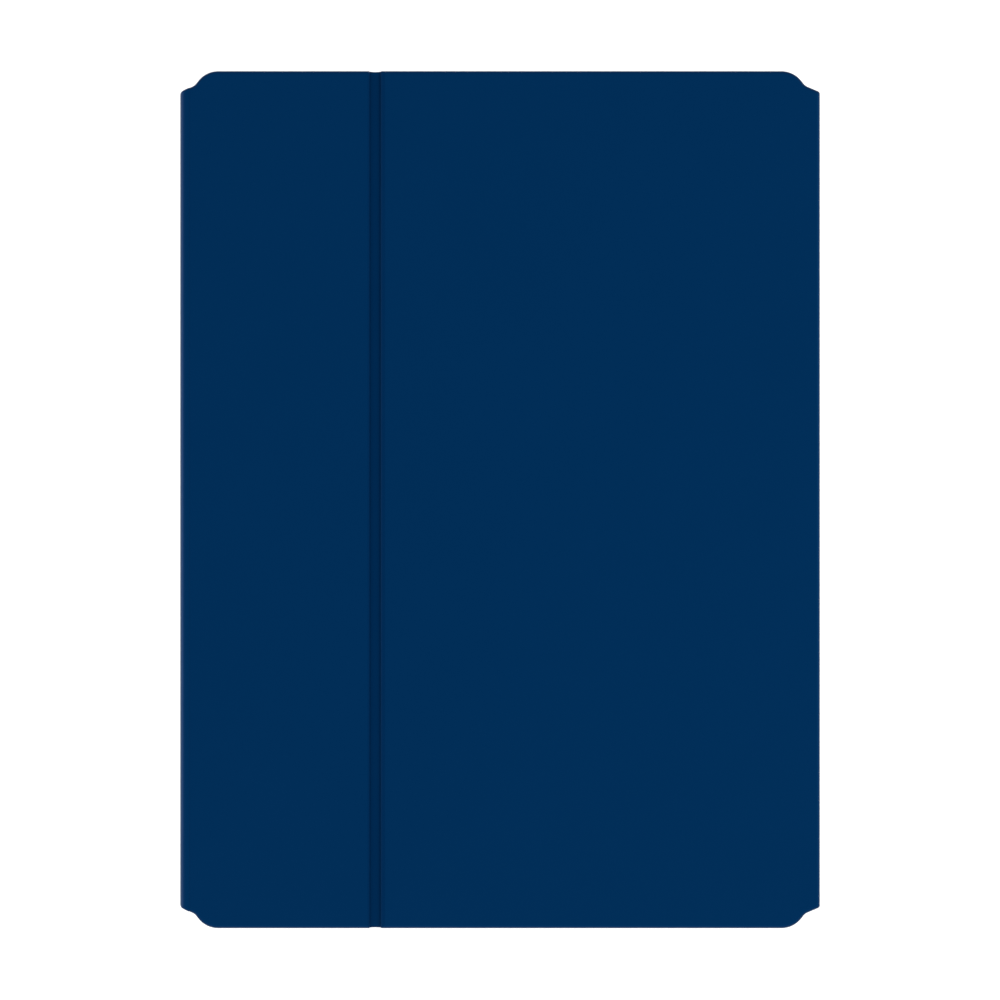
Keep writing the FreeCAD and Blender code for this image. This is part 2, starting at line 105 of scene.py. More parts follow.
# ------------------------------------------------------------ materials
class Nodes:
    """Short calls for building one material's node tree."""

    def __init__(self, name):
        self.material = bpy.data.materials.new(name)
        self.material.use_nodes = True
        self.tree = self.material.node_tree
        self.shader = self.tree.nodes["Principled BSDF"]
        self.coords = self.add("ShaderNodeTexCoord").outputs["Object"]

    def add(self, kind, **settings):
        node = self.tree.nodes.new(kind)
        for key, value in settings.items():
            setattr(node, key, value)
        return node

    def link(self, source, target):
        self.tree.links.new(source, target)

    def noise(self, scale, detail=4.0, rough=0.6, stretch=(1, 1, 1)):
        mapping = self.add("ShaderNodeMapping")
        mapping.inputs["Scale"].default_value = stretch
        self.link(self.coords, mapping.inputs["Vector"])
        node = self.add("ShaderNodeTexNoise")
        node.inputs["Scale"].default_value = scale
        node.inputs["Detail"].default_value = detail
        node.inputs["Roughness"].default_value = rough
        self.link(mapping.outputs["Vector"], node.inputs["Vector"])
        return node.outputs["Fac"]

    def cells(self, scale, smooth):
        node = self.add("ShaderNodeTexVoronoi", feature="SMOOTH_F1")
        node.inputs["Scale"].default_value = scale
        node.inputs["Smoothness"].default_value = smooth
        self.link(self.coords, node.inputs["Vector"])
        return node.outputs["Distance"]

    def ramp(self, value, low, high, colour_low, colour_high):
        node = self.add("ShaderNodeValToRGB")
        elements = node.color_ramp.elements
        elements[0].position = low
        elements[0].color = (*colour_low, 1)
        elements[1].position = high
        elements[1].color = (*colour_high, 1)
        self.link(value, node.inputs["Fac"])
        return node.outputs["Color"]

    def spread(self, value, low, high):
        node = self.add("ShaderNodeMapRange")
        node.inputs["To Min"].default_value = low
        node.inputs["To Max"].default_value = high
        self.link(value, node.inputs["Value"])
        return node.outputs["Result"]

    def bump(self, height, depth, strength=1.0, under=None):
        node = self.add("ShaderNodeBump")
        node.inputs["Distance"].default_value = depth
        node.inputs["Strength"].default_value = strength
        self.link(height, node.inputs["Height"])
        if under is not None:
            self.link(under, node.inputs["Normal"])
        return node.outputs["Normal"]

    def finish(self, colour, roughness, normal=None, **sockets):
        self.link(colour, self.shader.inputs["Base Color"])
        self.link(roughness, self.shader.inputs["Roughness"])
        if normal is not None:
            self.link(normal, self.shader.inputs["Normal"])
        for key, value in sockets.items():
            self.shader.inputs[key.replace("_", " ")].default_value = value
        return self.material


def shades(colour, spread):
    """A darker and a lighter version of a colour."""
    return [c * (1 - spread) for c in colour], [c * (1 + spread) for c in colour]


BLUE_TINT = (0.0, 0.3, 1.0, 1.0)


def leather(name, colour, gloss=0.45):
    """Coated leather: fine pebbled grain and faint mottling.

    The tint keeps the navy pure seen from in front. At grazing angles the sheen is white.
    """
    n = Nodes(name)
    mottle = n.noise(28, 5, 0.55)
    dark, light = shades(colour, 0.02)
    grain = n.cells(1500, 0.6)
    pores = n.noise(5200, 2, 0.5)
    normal = n.bump(grain, 0.00006, 0.35)
    normal = n.bump(pores, 0.00002, 0.25, normal)
    return n.finish(n.ramp(mottle, 0.3, 0.7, dark, light), n.spread(mottle, 0.42, 0.5), normal,
                    Specular_IOR_Level=gloss, Specular_Tint=BLUE_TINT)


def microfibre(name, colour):
    """Short brushed nap with a directional drift."""
    n = Nodes(name)
    nap = n.noise(420, 6, 0.7, (1, 0.35, 1))
    drift = n.noise(22, 3, 0.5)
    fibres = n.noise(4200, 3, 0.75, (1, 0.25, 1))
    dark, light = shades(colour, 0.22)
    both = n.add("ShaderNodeMath", operation="MULTIPLY_ADD")
    n.link(nap, both.inputs[0])
    both.inputs[1].default_value = 0.6
    n.link(drift, both.inputs[2])
    normal = n.bump(fibres, 0.00012, 0.6)
    return n.finish(n.ramp(both.outputs[0], 0.55, 1.0, dark, light), n.spread(nap, 0.86, 0.98),
                    normal, Specular_IOR_Level=0.1, Sheen_Weight=0.25, Sheen_Roughness=0.5)


def moulded(name, colour, rough, texture=2600, depth=0.00003, level=0.35):
    """Moulded plastic with a spark-eroded texture and slight handling shine."""
    n = Nodes(name)
    shine = n.noise(35, 4, 0.6)
    grit = n.noise(texture, 2, 0.6)
    dark, light = shades(colour, 0.06)
    return n.finish(n.ramp(shine, 0.3, 0.7, dark, light),
                    n.spread(shine, rough - 0.05, rough + 0.06),
                    n.bump(grit, depth, 0.5), Specular_IOR_Level=level)


def metal(name, colour, rough):
    """Drawn metal: fine streaks along X."""
    n = Nodes(name)
    streaks = n.noise(240, 6, 0.7, (1, 18, 1))
    dark, light = shades(colour, 0.1)
    return n.finish(n.ramp(streaks, 0.35, 0.65, dark, light),
                    n.spread(streaks, rough - 0.08, rough + 0.1), n.bump(streaks, 0.00001, 0.3),
                    Metallic=1.0)


def lens_material():
    """Frosted clear plastic with a faint glow of colour in it."""
    n = Nodes("frosted_lens")
    frost = n.noise(900, 3, 0.6)
    return n.finish(n.ramp(frost, 0.3, 0.7, (0.42, 0.5, 0.55), (0.6, 0.68, 0.72)),
                    n.spread(frost, 0.25, 0.4), n.bump(frost, 0.00001, 0.3),
                    Transmission_Weight=0.3)


NAVY = (0.0001, 0.0154, 0.0570)
PRESSED_NAVY_PAINTED_LIGHT = [c * 1.23 for c in NAVY]     # hot-pressed in the channel and duller; its lighter tone is painted light in the channel's shade
mat_leather = leather("navy_leather", NAVY)
# duller copy of the leather, painted lighter: the lower gloss is the pressed finish, the lighter
# tone is painted light for the channel
mat_pressed_painted_light = leather("pressed_leather_painted_light", PRESSED_NAVY_PAINTED_LIGHT, 0.1)
mat_lining = microfibre("navy_microfibre", (0.006, 0.030, 0.085))
mat_shell = moulded("navy_shell", (0.003, 0.020, 0.060), 0.45)
mat_trim = moulded("trim_ring_plastic", (0.004, 0.010, 0.022), 0.3, 1800, 0.00001, 0.5)
mat_deck = moulded("deck_plastic", (0.030, 0.032, 0.037), 0.5)
mat_key = moulded("key_plastic", (0.008, 0.0085, 0.010), 0.48, 3200)
mat_legend = moulded("legend_print", (0.62, 0.63, 0.64), 0.5, 3000, 0.00001)
mat_rubber = moulded("bumper_rubber", (0.016, 0.016, 0.017), 0.8, 1500, 0.00003, 0.2)
mat_switch = moulded("switch_plastic", (0.10, 0.105, 0.11), 0.45)
mat_board = moulded("fibreboard", (0.30, 0.27, 0.22), 0.85, 700, 0.00008, 0.2)
mat_film = moulded("membrane_film", (0.55, 0.55, 0.48), 0.35, 500)
mat_pcb = moulded("circuit_board", (0.008, 0.09, 0.04), 0.4, 900)
mat_cell = metal("battery_foil", (0.55, 0.56, 0.58), 0.35)
mat_steel = metal("drawn_steel", (0.52, 0.53, 0.55), 0.35)
mat_magnet = metal("nickel_plate", (0.66, 0.65, 0.62), 0.25)
mat_lens = lens_material()

SLOT_MATERIALS = {
    "leather": mat_leather, "microfibre": mat_lining, "shell_plastic": mat_shell,
    "trim_plastic": mat_trim, "keyboard_plastic": mat_deck, "keycap": mat_key,
    "rubber": mat_rubber, "switch_plastic": mat_switch, "board": mat_board,
    "membrane": mat_film, "circuit_board": mat_pcb, "battery_foil": mat_cell,
    "steel": mat_steel, "magnet": mat_magnet, "clear_lens": mat_lens,
}


def dress_cad_nodes():
    """Gives every CAD node the material of its slot."""
    for part in frame["record"]["subparts"]:
        obj = frame["nodes"][part["node"]]
        obj.data.materials.clear()
        obj.data.materials.append(SLOT_MATERIALS[part["material_slot"]])


# ------------------------------------------------------------ mesh building
def add_piece(name, bm, body, slot_name, replaced=(), blend=None, sharp=32, material=None):
    """Turns a bmesh in millimetres into a piece that rides or blends."""
    bmesh.ops.recalc_face_normals(bm, faces=bm.faces)
    bmesh.ops.scale(bm, vec=(M, M, M), verts=bm.verts)
    mesh = bpy.data.meshes.new(name)
    bm.to_mesh(mesh)
    bm.free()
    mesh.shade_smooth()
    mesh.set_sharp_from_angle(angle=math.radians(sharp))
    obj = bpy.data.objects.new(name, mesh)
    bpy.context.scene.collection.objects.link(obj)
    mesh.materials.append(material or SLOT_MATERIALS[slot_name])
    if replaced:
        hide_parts(*replaced)
    if blend:
        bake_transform(obj)
    else:
        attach(obj, body)
    return obj


def ring(bm, points):
    """New vertices at the points."""
    return [bm.verts.new(p) for p in points]


def bridge(bm, first, second):
    """Band of quads between two closed rings of equal length."""
    count = len(first)
    for i in range(count):
        j = (i + 1) % count
        bm.faces.new((first[i], first[j], second[j], second[i]))


def cap(bm, loop, hole=None):
    """Fills a flat loop, round a hole if there is one."""
    if hole is None:
        bm.faces.new(loop)
        return
    edges = []
    for verts in (loop, hole):
        for pair in zip(verts, verts[1:] + verts[:1]):
            edges.append(bm.edges.get(pair) or bm.edges.new(pair))
    bmesh.ops.triangle_fill(bm, use_beauty=True, use_dissolve=False, edges=edges)


def through_loops(loops, holes=None):
    """Closed solid through equal loops, with a hole through both caps if holes are given."""
    bm = bmesh.new()
    rings = [ring(bm, loop) for loop in loops]
    for first, second in zip(rings[:-1], rings[1:]):
        bridge(bm, first, second)
    if holes:
        bores = [ring(bm, loop) for loop in holes]
        for first, second in zip(bores[:-1], bores[1:]):
            bridge(bm, first, second)
        cap(bm, rings[0], bores[0])
        cap(bm, rings[-1], bores[-1])
    else:
        cap(bm, rings[0])
        cap(bm, rings[-1])
    return bm


def arc_points(centre, radius, start, end, count):
    """Points round (u, v) centre; angle 0 points to -v and 90 degrees to -u."""
    points = []
    for k in range(count + 1):
        a = start + (end - start) * k / count
        points.append((centre[0] - radius * math.sin(a), centre[1] - radius * math.cos(a)))
    return points


# Each corner of a rectangle: its side in X, its side in Y, and the quarter turn it starts at.
CORNERS = ((1, 1, 0), (-1, 1, 1), (-1, -1, 2), (1, -1, 3))


def rounded_box(low, high, inset, radius, z, steps):
    """Outline of a box from above with round corners, anticlockwise."""
    points = []
    for sx, sy, start in CORNERS:
        x = high.x - inset - radius if sx > 0 else low.x + inset + radius
        y = high.y - inset - radius if sy > 0 else low.y + inset + radius
        for k in range(steps + 1):
            a = math.pi / 2 * (start + k / steps)
            points.append((x + radius * math.cos(a), y + radius * math.sin(a), z))
    return points


def circle(x, y, radius, z):
    """Outline of a round hole, anticlockwise from above."""
    steps = 48
    points = []
    for k in range(steps):
        a = 2 * math.pi * k / steps
        points.append((x + radius * math.cos(a), y + radius * math.sin(a), z))
    return points


# ------------------------------------------------------------ cover outline
def ogee_facts():
    """Centre (u, v) of the hollow arc, and how far down the ramp meets the side."""
    run_u = BIG_IN - BIG_R * math.sin(STEEP) - RUN * math.cos(STEEP)
    run_v = BIG_R - BIG_R * math.cos(STEEP) + RUN * math.sin(STEEP)
    hollow = (run_u - HOLLOW_R * math.sin(STEEP), run_v - HOLLOW_R * math.cos(STEEP))
    end_u = hollow[0] + HOLLOW_R * math.sin(RAMP)
    end_v = hollow[1] + HOLLOW_R * math.cos(RAMP)
    return hollow, end_v + end_u * math.tan(RAMP)


HOLLOW, RAMP_SIDE = ogee_facts()


def ramp_v(u):
    """How far below the end edge the ramp is, at u in from the side."""
    return RAMP_SIDE - u * math.tan(RAMP)


def ogee_corner(inset, side_inset, lead, tip_r):
    """(u, v) points from the side to the end edge, moved inward by inset.

    The side lies lead in from the ogee's own side. Where the ramp is used up by
    the inset, the tip meets the hollow arc.
    """
    r = max(tip_r - inset, 0.12)
    u = lead + side_inset + r
    hollow_r = HOLLOW_R + inset
    turn = max(RAMP, math.asin((u - HOLLOW[0]) / hollow_r))
    v = ramp_v(u) + (inset + r) / math.cos(RAMP)
    if turn > RAMP:
        v = HOLLOW[1] + hollow_r * math.cos(turn) + r
    points = arc_points((u, v), r, math.pi / 2, RAMP, 5)
    points += arc_points(HOLLOW, -hollow_r, turn, STEEP, 6)
    points += arc_points((BIG_IN, BIG_R), BIG_R - inset, STEEP, 0, 16)
    return points


def square_corner(inset, side_inset):
    """(u, v) points round the small corner beside the fold channel."""
    r = max(0.6 - inset, 0.12)
    return arc_points((side_inset + r, inset + r), r, math.pi / 2, 0, 5)


class Side:
    """One side of a panel: its place along X, the kind of its corners, and its edge.

    steep scales the rounded edge's width against the end edge's, and reach
    scales how much further in the loops behind the edge go.
    """

    def __init__(self, x, kind, steep=1.0, reach=1.0):
        self.x = x
        self.kind = kind
        self.steep = steep
        self.reach = reach

    def corner(self, inset):
        side_inset = self.steep * min(inset, ROUND_IN) + self.reach * max(inset - ROUND_IN, 0)
        if self.kind == "free":
            return ogee_corner(inset, side_inset, 0.0, TIP_R)
        if self.kind == "hinge":
            lead = self.x - X_SPINE
            shifted = ogee_corner(inset, side_inset, lead, 0.3)
            return [(u - lead, v) for u, v in shifted]
        return square_corner(inset, side_inset)


def panel_outline(left, right, inset, z):
    """Anticlockwise outline of a panel, seen from above."""
    points = []
    for side, sx, sy, backward in ((right, -1, 1, False), (left, 1, 1, True),
                                   (left, 1, -1, False), (right, -1, -1, True)):
        corner = side.corner(inset)
        if backward:
            corner = corner[::-1]
        points += [(side.x + sx * u, sy * (HALF_H - v), z) for u, v in corner]
    return points


def rounded_profile():
    """(inset, depth) from the flat face, round the edge and down the wall."""
    profile = [(TURN_IN, 0.0), (ROUND_IN + 0.5, 0.0)]
    for k in range(7):
        a = math.pi / 2 * k / 6
        profile.append((ROUND_IN * (1 - math.sin(a)), ROUND_DOWN * (1 - math.cos(a))))
    return profile


def skin_profile():
    """The whole leather: face, edge, turned-in border, and the board's cavity."""
    under = COVER_T
    profile = rounded_profile()
    profile += [(0.0, under - 0.4), (0.12, under - 0.12), (0.4, under), (TURN_IN, under),
                (TURN_IN, under - LINING_T), (SKIN_T, under - LINING_T), (SKIN_T, SKIN_T)]
    return profile


def front_skin(name, left, right, fold, body, replaced):
    """Leather of one front panel. The faces sloping down the side of the fold get the duller
    pressed leather, whose lighter tone is painted light.
    """
    loops = [panel_outline(left, right, inset, TOP - depth) for inset, depth in skin_profile()]
    obj = add_piece(name, through_loops(loops), body, "leather", replaced)
    obj.data.materials.append(mat_pressed_painted_light)
    reach = fold.steep * ROUND_IN * M
    least_tilt = 0.05
    for face in obj.data.polygons:
        beside_fold = abs(face.center.x - fold.x * M) < reach
        if beside_fold and abs(face.normal.x) > least_tilt:
            # sloped faces beside the fold take the pressed leather, painted lighter as painted
            # light in the channel's shade
            face.material_index = 1


def panel_lining(name, left, right, z_face, body, replaced):
    """Microfibre inside the turned-in border; z_face is its visible side."""
    start = TURN_IN - 0.4
    loops = []
    for inset, depth in ((start + 0.6, 0.0), (start + 0.18, 0.0), (start + 0.05, 0.05),
                         (start, 0.16), (start, LINING_T)):
        loops.append(panel_outline(left, right, inset, z_face + depth))
    add_piece(name, through_loops(loops), body, "microfibre", replaced)


def build_front_cover():
    """Leather and lining of the two front panels."""
    small = Side(HINGE_X, "hinge", 0.3), Side(FOLD_X0, "fold", 0.72)
    main = Side(FOLD_X1, "fold", 1.4), Side(X_FREE, "free")
    front_skin("front_small_leather", *small, small[1], "front_small", ("front_small_skin",))
    front_skin("front_main_leather", *main, main[0], "front_main", ("front_main_skin",))
    face = TOP - COVER_T - 0.04
    open_small = Side(HINGE_X, "hinge", 0.0, 0.08), Side(FOLD_X0, "fold", 0.0, 0.08)
    open_main = Side(FOLD_X1, "fold", 0.0, 0.08), Side(X_FREE, "free")
    panel_lining("front_small_microfibre", *open_small, face, "front_small",
                 ("front_small_lining",))
    panel_lining("front_main_microfibre", *open_main, face, "front_main",
                 ("front_main_lining",))


def build_back_cover():
    """Leather of the back cover, with the camera hole turned in round its ring."""
    sides = Side(HINGE_X, "hinge", 0.3), Side(X_FREE, "free")
    loops = [panel_outline(*sides, inset, depth) for inset, depth in skin_profile()]
    holes = []
    for out, z in ((0.5, 0.0), (0.2, 0.06), (0.05, 0.2), (0.0, 0.45), (0.0, SKIN_T)):
        holes.append(circle(CAMERA_X, CAMERA_Y, CAMERA_R + out, z))
    add_piece("back_cover_leather", through_loops(loops, holes), "holder", "leather",
              ("back_cover_skin",))


def build_back_board():
    """The back cover's board, planed down to lie under the turned-in leather."""
    clear = 0.03
    bm = bmesh.new()
    bm.from_mesh(frame["nodes"]["back_cover_board"].data)
    bmesh.ops.remove_doubles(bm, verts=bm.verts, dist=1e-6)
    bmesh.ops.scale(bm, vec=(1 / M, 1 / M, 1 / M), verts=bm.verts)
    for v in bm.verts:
        v.co.z = min(v.co.z, COVER_T - LINING_T - clear)
    add_piece("back_cover_fibreboard", bm, "holder", "board", ("back_cover_board",))


# ------------------------------------------------------------ folds and spine
# A strip's ends: how far in from the end, and the share of half its thickness sunk there.
END_ROUNDING = ((0.9, 0.0), (0.5, 0.08), (0.22, 0.25), (0.06, 0.55), (0.0, 1.0))


def path_normals(path):
    """Unit normals to the left of a path of (x, z) points."""
    normals = []
    for i in range(len(path)):
        before = Vector(path[max(i - 1, 0)])
        after = Vector(path[min(i + 1, len(path) - 1)])
        along = (after - before).normalized()
        normals.append(Vector((-along.y, along.x)))
    return normals


def close_strip(bm, outer, inner):
    """Faces of a strip between its outer and inner rows of vertices."""
    width = len(outer[0])
    last = len(outer) - 1
    for i in range(last):
        for j in range(width - 1):
            bm.faces.new((outer[i][j], outer[i][j + 1], outer[i + 1][j + 1], outer[i + 1][j]))
            bm.faces.new((inner[i][j], inner[i + 1][j], inner[i + 1][j + 1], inner[i][j + 1]))
    for j in range(width - 1):
        for i in (0, last):
            bm.faces.new((outer[i][j], outer[i][j + 1], inner[i][j + 1], inner[i][j]))
    bmesh.ops.remove_doubles(bm, verts=bm.verts, dist=1e-4)


def strip(name, path, halves, thick, slot_name, replaced, blend, material=None):
    """Sheet below a path of (x, z) points, blended between two bodies.

    halves gives each point's half length along Y. The ends are rounded down
    into the sheet.
    """
    columns = [(-1, inset, drop) for inset, drop in END_ROUNDING[::-1]]
    columns += [(1, inset, drop) for inset, drop in END_ROUNDING]
    bm = bmesh.new()
    outer = []
    inner = []
    for (x, z), n, half in zip(path, path_normals(path), halves):
        top_row = []
        low_row = []
        for side, inset, drop in columns:
            sink = thick * 0.5 * drop
            rise = thick - sink
            y = side * (half - inset * min(1.0, thick))
            top_row.append(bm.verts.new((x - n.x * sink, y, z - n.y * sink)))
            low_row.append(bm.verts.new((x - n.x * rise, y, z - n.y * rise)))
        outer.append(top_row)
        inner.append(low_row)
    close_strip(bm, outer, inner)
    add_piece(name, bm, None, slot_name, replaced, blend, 50, material)


def corner_path(radius, up, flat_to):
    """Round a corner of the spine, from the spine's face to the cover's face."""
    steps = 14
    cx = X_SPINE + FOLD_R
    cz = TOP - FOLD_R if up > 0 else FOLD_R
    path = []
    for k in range(steps + 1):
        a = math.pi / 2 * k / steps
        path.append((cx - radius * math.cos(a), cz + up * radius * math.sin(a)))
    last = path[-1][1]
    for k in range(1, 4):
        path.append((cx + (flat_to - cx) * k / 3, last))
    return path


def end_half(x):
    """Half length of the leather where it is x - X_SPINE in from the spine's face."""
    u = x - X_SPINE
    reach = TIP_R * (1 - math.sin(RAMP))
    if u < reach:
        fall = TIP_R - math.sqrt(max(TIP_R ** 2 - (TIP_R - u) ** 2, 0.0))
        base = ramp_v(TIP_R) + TIP_R / math.cos(RAMP) - TIP_R
        return HALF_H - base - fall
    return HALF_H - ramp_v(u)


def build_spine_fold(name, up, pair, replaced):
    """Leather and lining round one long corner of the spine."""
    lap_x = HINGE_X + 0.25
    face_z = TOP if up > 0 else 0.0
    corner_z = TOP - FOLD_R if up > 0 else FOLD_R
    start = Vector((X_SPINE, 0, corner_z)) * M
    end = Vector((HINGE_X, 0, face_z)) * M
    for part, radius, thick, slot_name in (("leather", FOLD_R, 0.75, "leather"),
                                           ("microfibre", FOLD_R - 0.8, LINING_T, "microfibre")):
        path = corner_path(radius, up, lap_x)
        short = 0.0 if part == "leather" else 2.0
        halves = [end_half(x) - short for x, _ in path]
        if up < 0:
            path = path[::-1]
            halves = halves[::-1]
        strip(name + "_" + part, path, halves, thick, slot_name,
              replaced if part == "leather" else (), (*pair, start, end))


def build_front_fold():
    """Floor of the pressed channel: leather above, microfibre below; the leather's lighter tone
    is painted light in the channel's shade.

    It arches up a little in the middle, and its ends curve in.
    """
    lap = 0.3
    x0 = FOLD_X0 - lap
    x1 = FOLD_X1 + lap
    start = Vector((FOLD_X0, 0, TOP - 1)) * M
    end = Vector((FOLD_X1, 0, TOP - 1)) * M
    steps = [k / 16 for k in range(17)]
    for part, depth, rise, thick, short in (("leather", 1.28, 0.05, 0.6, 0.0),
                                            ("microfibre", 2.0, 0.0, 0.4, 1.5)):
        z = TOP - depth
        path = [(x0 + (x1 - x0) * t, z + rise * math.sin(math.pi * t) ** 2) for t in steps]
        halves = [HALF_H - 0.1 - 0.15 * math.sin(math.pi * t) - short for t in steps]
        leather_part = part == "leather"
        # the leather floor takes the pressed leather, whose lighter tone is painted light in the
        # channel's shade
        strip("front_fold_" + part, path, halves, thick, part,
              ("front_fold_gusset",) if leather_part else (),
              ("front_small", "front_main", start, end),
              mat_pressed_painted_light if leather_part else None)


def build_spine():
    """Leather tray of the spine round its board, and the lining inside."""
    z0 = FOLD_R
    z1 = TOP - FOLD_R
    y1 = end_half(X_SPINE)

    def outline(inset, x):
        r = max(0.5 - inset, 0.1)
        dz = 0.15 * inset
        points = []
        for sy, sz, start in CORNERS:
            for k in range(5):
                a = math.pi / 2 * (start + k / 4)
                points.append((x, sy * (y1 - inset - r) + r * math.cos(a),
                               (z0 + z1) / 2 + sz * ((z1 - z0) / 2 - dz - r) + r * math.sin(a)))
        return points

    x_in = SPINE_HIGH.x
    loops = [outline(inset, X_SPINE + depth * 0.6) for inset, depth in rounded_profile()]
    loops += [outline(0.0, x_in - 0.3), outline(0.3, x_in), outline(3.0, x_in),
              outline(3.0, x_in - LINING_T), outline(SKIN_T, x_in - LINING_T),
              outline(SKIN_T, X_SPINE + SKIN_T)]
    add_piece("spine_leather", through_loops(loops), "spine", "leather", ("spine_skin",))
    loops = [outline(3.4, x_in + 0.04), outline(2.8, x_in + 0.04),
             outline(2.6, x_in - 0.1), outline(2.6, x_in - LINING_T)]
    add_piece("spine_microfibre", through_loops(loops), "spine", "microfibre", ("spine_lining",))


# ------------------------------------------------------------ tablet shell's pad
def build_pad():
    """Microfibre pad on the shell's floor, with its camera hole."""
    corner_r = 9.4
    hole_r = 8.0
    low = PAD_LOW.z
    top = PAD_HIGH.z
    loops = []
    for inset, z in ((0.0, low), (0.0, top - 0.12), (0.08, top - 0.02), (0.3, top)):
        loops.append(rounded_box(PAD_LOW, PAD_HIGH, inset, corner_r - inset, z, 8))
    holes = []
    for out, z in ((0.0, low), (0.0, top - 0.12), (0.25, top)):
        holes.append(circle(CAMERA_X, CAMERA_Y, hole_r + out, z))
    add_piece("shell_microfibre_pad", through_loops(loops, holes), "holder", "microfibre",
              ("shell_pad",))


# ------------------------------------------------------------ keyboard
ROWS = {
    "function_row_keys": ["F1", "F2", "F3", "F4", "F5", "F6", "F7", "F8", "F9", "F10", "F11",
                          "F12", "del"],
    "number_row_keys": list("`1234567890-="),
    "upper_row_keys": list("QWERTYUIOP[]\\"),
    "home_row_keys": list("ASDFGHJKL;'"),
    "lower_row_keys": list("ZXCVBNM,./"),
}
SINGLES = {
    "key_escape": "esc", "key_backspace": "backspace", "key_tab": "tab",
    "key_caps_lock": "caps lock", "key_enter": "enter", "key_shift_left": "shift",
    "key_shift_right": "shift", "key_function": "fn", "key_control": "ctrl",
    "key_option_left": "alt", "key_command_left": "cmd", "key_space": "",
    "key_command_right": "cmd", "key_option_right": "alt", "key_arrow_left": "◀",
    "key_arrow_up": "▲", "key_arrow_down": "▼", "key_arrow_right": "▶",
}
# the sign printed above each plain one
SHIFTED = dict(zip("`1234567890-=[]\\;',./", "~!@#$%^&*()_+{}|:\"<>?"))


def loose_parts(obj):
    """Box of each separate solid in a CAD node, in millimetres, from +Y to -Y."""
    mesh = obj.data
    parent = list(range(len(mesh.vertices)))

    def root(i):
        while parent[i] != i:
            parent[i] = parent[parent[i]]
            i = parent[i]
        return i

    # vertices in one place are joined, and so are the ends of an edge
    first_there = {}
    for v in mesh.vertices:
        place = tuple(round(c, 6) for c in v.co)
        parent[v.index] = root(first_there.setdefault(place, v.index))
    for e in mesh.edges:
        a, b = root(e.vertices[0]), root(e.vertices[1])
        parent[a] = b
    solids = {}
    for v in mesh.vertices:
        solids.setdefault(root(v.index), []).append(v.co / M)
    boxes = [(Vector(map(min, *points)), Vector(map(max, *points))) for points in solids.values()]
    return sorted(boxes, key=lambda box: -box[0].y)


def cap_outline(low, high, inset, z, radius=1.6):
    """Outline of a keycap, moved in by inset."""
    return rounded_box(low, high, inset, max(radius - inset * 0.6, 0.5), z, 6)


def keycap(bm, low, high):
    """Hollow cap with a soft edge and a shallow dish, facing -Z."""
    top = low.z
    dish = 0.1
    taper = 0.36              # how much narrower the wall is where the soft edge starts
    soft_in = 0.55
    soft_down = 0.62
    loops = [cap_outline(low, high, 1.2, top + 0.8, 1.0), cap_outline(low, high, 0.85, high.z),
             cap_outline(low, high, 0.12, high.z), cap_outline(low, high, 0.0, high.z - 0.12),
             cap_outline(low, high, taper, top + soft_down)]
    for k in range(1, 6):
        a = math.pi / 2 * k / 5
        loops.append(cap_outline(low, high, taper + soft_in * (1 - math.cos(a)),
                                 top + soft_down * (1 - math.sin(a))))
    reach = min(high.x - low.x, high.y - low.y) / 2
    for share in (0.3, 0.5, 0.7):
        loops.append(cap_outline(low, high, reach * share, top + dish * (share - 0.15)))
    rings = [ring(bm, loop) for loop in loops]
    for first, second in zip(rings[:-1], rings[1:]):
        bridge(bm, first, second)
    cap(bm, rings[0])
    cap(bm, rings[-1])


def legend(text, x, y, z, size):
    """Flat letters that read with the function row away from the reader."""
    curve = bpy.data.curves.new("legend", "FONT")
    curve.body = text
    curve.size = size
    curve.align_x = "CENTER"
    curve.align_y = "CENTER"
    curve.extrude = 0.03
    curve.resolution_u = 3
    obj = bpy.data.objects.new("legend", curve)
    bpy.context.scene.collection.objects.link(obj)
    bpy.context.view_layer.update()
    mesh = bpy.data.meshes.new_from_object(obj.evaluated_get(
        bpy.context.evaluated_depsgraph_get()))
    bpy.data.objects.remove(obj)
    for v in mesh.vertices:
        across, along, out = v.co
        v.co = (x - along, y - across, z - out)
    return mesh


def key_words(node, index):
    """What is printed on a cap; index counts along a row from +Y."""
    if node in SINGLES:
        return SINGLES[node]
    return ROWS[node][index]


def print_lines(words):
    """Each line of print on a cap: its text, its shift along X and its size."""
    if words in SHIFTED:
        return [(SHIFTED[words], -2.6, 3.6), (words, 2.6, 3.8)]
    if len(words) > 1:
        return [(words, 0.0, 2.9)]
    if words.isalpha():
        return [(words, 0.0, 4.6)]
    return [(words, 0.0, 3.0)] if words else []


def add_legends(bm, words, low, high, face):
    """Prints a cap's words in its middle, at height face."""
    x = (low.x + high.x) / 2
    y = (low.y + high.y) / 2
    for text, shift, size in print_lines(words):
        mesh = legend(text, x + shift, y, face, size)
        bm.from_mesh(mesh)
        bpy.data.meshes.remove(mesh)


def build_keys():
    """Caps and legends of every key node, on the body that the record gives it."""
    sunk = 0.045              # the print is this far behind the cap's foremost face
    bodies = frame["record"]["behaviour"]["bodies"]
    owner = {node: body for body, nodes in bodies.items() for node in nodes}
    for node in list(SINGLES) + list(ROWS):
        caps = bmesh.new()
        prints = bmesh.new()
        for index, (low, high) in enumerate(loose_parts(frame["nodes"][node])):
            keycap(caps, low, high)
            add_legends(prints, key_words(node, index), low, high, low.z + sunk)
        name = node.removesuffix("_keys")
        add_piece(name + "_caps", caps, owner[node], "keycap", (node,), sharp=40)
        bmesh.ops.remove_doubles(prints, verts=prints.verts, dist=0.002)
        bmesh.ops.dissolve_degenerate(prints, edges=prints.edges, dist=0.001)
        if prints.verts:
            add_piece(name + "_legends", prints, owner[node], "keycap", sharp=30,
                      material=mat_legend)
        else:
            prints.free()


# ------------------------------------------------------------ stage
FLOOR_Z = -0.26           # metres; low enough for the cover to fold right back


